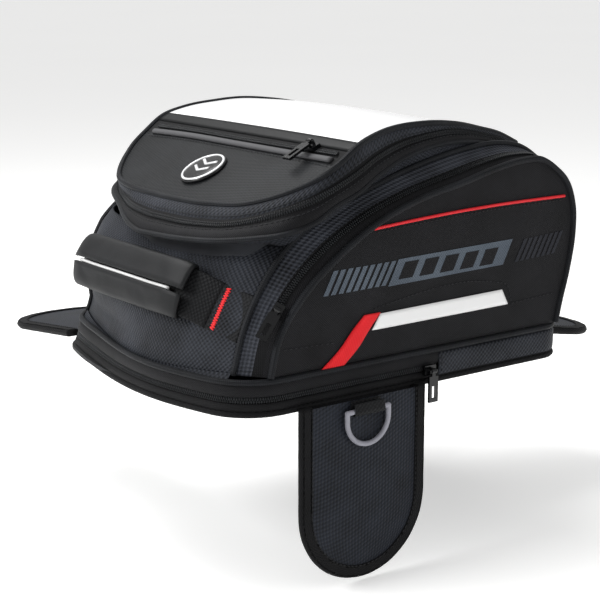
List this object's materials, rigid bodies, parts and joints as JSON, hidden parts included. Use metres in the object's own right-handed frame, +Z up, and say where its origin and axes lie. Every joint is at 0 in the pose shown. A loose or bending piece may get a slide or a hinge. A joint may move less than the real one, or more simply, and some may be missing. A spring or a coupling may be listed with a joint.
{
  "type": "tank bag",
  "caption": "Soft motorcycle luggage bag with a zipped lid, side pockets, a carry handle and hold-down flaps that grip a fuel tank with magnets.",
  "frame": {"origin": "centre of the base underside, where the bag rests on the tank", "axes": "+Z up, +X towards the tall end at the front of the motorcycle, handle and low nose at -X"},
  "size_m": [0.499, 0.4473, 0.3495],
  "materials": {
    "coated_fabric": "1680 denier ballistic nylon weave, matte",
    "ribbed_fabric": "fine ribbed nylon, charcoal",
    "binding_tape": "woven polyester binding",
    "lining_fabric": "thin lining over foam",
    "foam_board": "stiffening board",
    "grip_rubber": "anti-slip rubberised pad",
    "piping_vinyl": "satin vinyl piping",
    "zip_coil": "nylon coil",
    "slider_metal": "gunmetal enamel on zinc",
    "ring_metal": "grey enamel on steel",
    "magnet_metal": "plated magnet",
    "window_vinyl": "clear film over silver card",
    "reflective_tape": "silver retroreflective tape",
    "thread_red": "red bartack thread",
    "badge": "moulded badge"
  },
  "bodies": {
    "base": {"base_pad": "grip_rubber", "base_board": "foam_board", "base_binding": "binding_tape", "base_band": "coated_fabric", "base_zip_lower_chain": "zip_coil", "expansion_sleeve": "lining_fabric"},
    "bag_body": {"upper_band": "coated_fabric", "base_zip_upper_chain": "zip_coil", "waist_piping": "piping_vinyl", "body_shell": "coated_fabric", "foam_lining": "lining_fabric", "body_collar": "coated_fabric", "main_zip_lower_chain": "zip_coil", "front_pipings": "piping_vinyl", "side_gusset_near": "coated_fabric", "side_gusset_far": "coated_fabric", "side_zip_chains": "zip_coil", "handle_end_webbing": "binding_tape", "handle_bartacks": "thread_red"},
    "lid": {"lid_side_strip": "coated_fabric", "lid_panel": "coated_fabric", "lid_pocket_panel": "ribbed_fabric", "map_window": "window_vinyl", "lid_pocket_zip": "zip_coil", "lid_piping": "piping_vinyl", "main_zip_upper_chain": "zip_coil", "lid_badge": "badge"},
    "pocket_door_near": {"side_panel_near": "coated_fabric", "panel_piping_near": "piping_vinyl", "reflective_strip_near": "reflective_tape"},
    "pocket_door_far": {"side_panel_far": "coated_fabric", "panel_piping_far": "piping_vinyl", "reflective_strip_far": "reflective_tape"},
    "handle": {"handle_webbing": "binding_tape", "handle_grip": "grip_rubber"},
    "near_flap": {"near_flap_panel": "coated_fabric", "near_flap_binding": "binding_tape", "near_flap_magnets": "magnet_metal", "near_ring_loop": "binding_tape"},
    "near_ring": {"near_d_ring": "ring_metal"},
    "far_flap": {"far_flap_panel": "coated_fabric", "far_flap_binding": "binding_tape", "far_flap_magnets": "magnet_metal", "far_ring_loop": "binding_tape"},
    "far_ring": {"far_d_ring": "ring_metal"},
    "front_flap": {"front_flap_panel": "coated_fabric", "front_flap_binding": "binding_tape", "front_flap_magnets": "magnet_metal", "front_ring_loop": "binding_tape"},
    "front_ring": {"front_d_ring": "ring_metal"},
    "base_zip_slider_body": {"base_zip_slider": "slider_metal"},
    "base_zip_pull": {"base_zip_puller": "slider_metal"},
    "lid_pocket_slider_body": {"lid_pocket_slider": "slider_metal"},
    "lid_pocket_pull": {"lid_pocket_puller": "slider_metal"},
    "main_zip_slider_body": {"main_zip_slider": "slider_metal"},
    "main_zip_pull": {"main_zip_puller": "slider_metal"},
    "side_zip_near_slider_body": {"side_zip_near_slider": "slider_metal"},
    "side_zip_near_pull": {"side_zip_near_puller": "slider_metal"},
    "side_zip_far_slider_body": {"side_zip_far_slider": "slider_metal"},
    "side_zip_far_pull": {"side_zip_far_puller": "slider_metal"}
  },
  "joints": [
    {"name": "base_tilt", "type": "hinge", "parent": "base", "child": "bag_body", "pos_m": [0.176, 0, 0.012], "axis": [0, 1, 0], "range_deg": [0, 8], "deforming": ["expansion_sleeve"]},
    {"name": "lid_hinge", "type": "hinge", "parent": "bag_body", "child": "lid", "pos_m": [0.1512, 0, 0.1685], "axis": [0, 1, 0], "range_deg": [0, 100]},
    {"name": "pocket_near", "type": "hinge", "parent": "bag_body", "child": "pocket_door_near", "pos_m": [0.02, -0.143, 0.033], "axis": [1, 0, 0], "range_deg": [0, 50]},
    {"name": "pocket_far", "type": "hinge", "parent": "bag_body", "child": "pocket_door_far", "pos_m": [0.02, 0.143, 0.033], "axis": [-1, 0, 0], "range_deg": [0, 50]},
    {"name": "handle_swing", "type": "hinge", "parent": "bag_body", "child": "handle", "pos_m": [-0.141, 0, 0.074], "axis": [0, 1, 0], "range_deg": [-12, 6]},
    {"name": "near_flap_hinge", "type": "hinge", "parent": "base", "child": "near_flap", "pos_m": [-0.045, -0.1453, 0.003], "axis": [1, 0, 0], "range_deg": [-95, 4]},
    {"name": "near_ring_swing", "type": "hinge", "parent": "near_flap", "child": "near_ring", "pos_m": [-0.045, -0.1539, -0.006], "axis": [-1, 0, 0], "range_deg": [0, 120]},
    {"name": "far_flap_hinge", "type": "hinge", "parent": "base", "child": "far_flap", "pos_m": [-0.08, 0.1453, 0.004], "axis": [1, 0, 0], "range_deg": [-83, 17]},
    {"name": "far_ring_swing", "type": "hinge", "parent": "far_flap", "child": "far_ring", "pos_m": [-0.08, 0.15528, 0.01144], "axis": [1, 0, 0], "range_deg": [0, 95]},
    {"name": "front_flap_hinge", "type": "hinge", "parent": "base", "child": "front_flap", "pos_m": [0.1773, -0.008, 0.004], "axis": [0, 1, 0], "range_deg": [-20, 80]},
    {"name": "front_ring_swing", "type": "hinge", "parent": "front_flap", "child": "front_ring", "pos_m": [0.18766, -0.008, 0.01091], "axis": [0, -1, 0], "range_deg": [0, 95]},
    {"name": "base_zip_run", "type": "slide", "parent": "base", "child": "base_zip_slider_body", "axis": [-1, 0, 0], "range_m": [0, 0.03]},
    {"name": "base_zip_pull_flip", "type": "hinge", "parent": "base_zip_slider_body", "child": "base_zip_pull", "pos_m": [0.0215, -0.1522, 0.0125], "axis": [-1, 0, 0], "range_deg": [0, 150]},
    {"name": "lid_pocket_run", "type": "slide", "parent": "lid", "child": "lid_pocket_slider_body", "axis": [0, 1, 0], "range_m": [0, 0.06]},
    {"name": "lid_pocket_pull_flip", "type": "hinge", "parent": "lid_pocket_slider_body", "child": "lid_pocket_pull", "pos_m": [-0.05702, -0.096, 0.19267], "axis": [0, 1, 0], "range_deg": [0, 150]},
    {"name": "main_zip_run", "type": "slide", "parent": "bag_body", "child": "main_zip_slider_body", "axis": [-0.994, 0.109, 0], "range_m": [0, 0.05]},
    {"name": "main_zip_pull_flip", "type": "hinge", "parent": "main_zip_slider_body", "child": "main_zip_pull", "pos_m": [0.07072, 0.12646, 0.1895], "axis": [0, 0, -1], "range_deg": [0, 150]},
    {"name": "side_zip_near_run", "type": "slide", "parent": "bag_body", "child": "side_zip_near_slider_body", "axis": [0.6084, 0, 0.7936], "range_m": [0, 0.03]},
    {"name": "side_zip_near_pull_flip", "type": "hinge", "parent": "side_zip_near_slider_body", "child": "side_zip_near_pull", "pos_m": [-0.11965, -0.14035, 0.07936], "axis": [-0.6068, 0.6444, 0.4653], "range_deg": [0, 150]},
    {"name": "side_zip_far_run", "type": "slide", "parent": "bag_body", "child": "side_zip_far_slider_body", "axis": [0.6084, 0, 0.7936], "range_m": [0, 0.03]},
    {"name": "side_zip_far_pull_flip", "type": "hinge", "parent": "side_zip_far_slider_body", "child": "side_zip_far_pull", "pos_m": [-0.11965, 0.14035, 0.07936], "axis": [0.6068, 0.6444, -0.4653], "range_deg": [0, 150]}
  ]
}
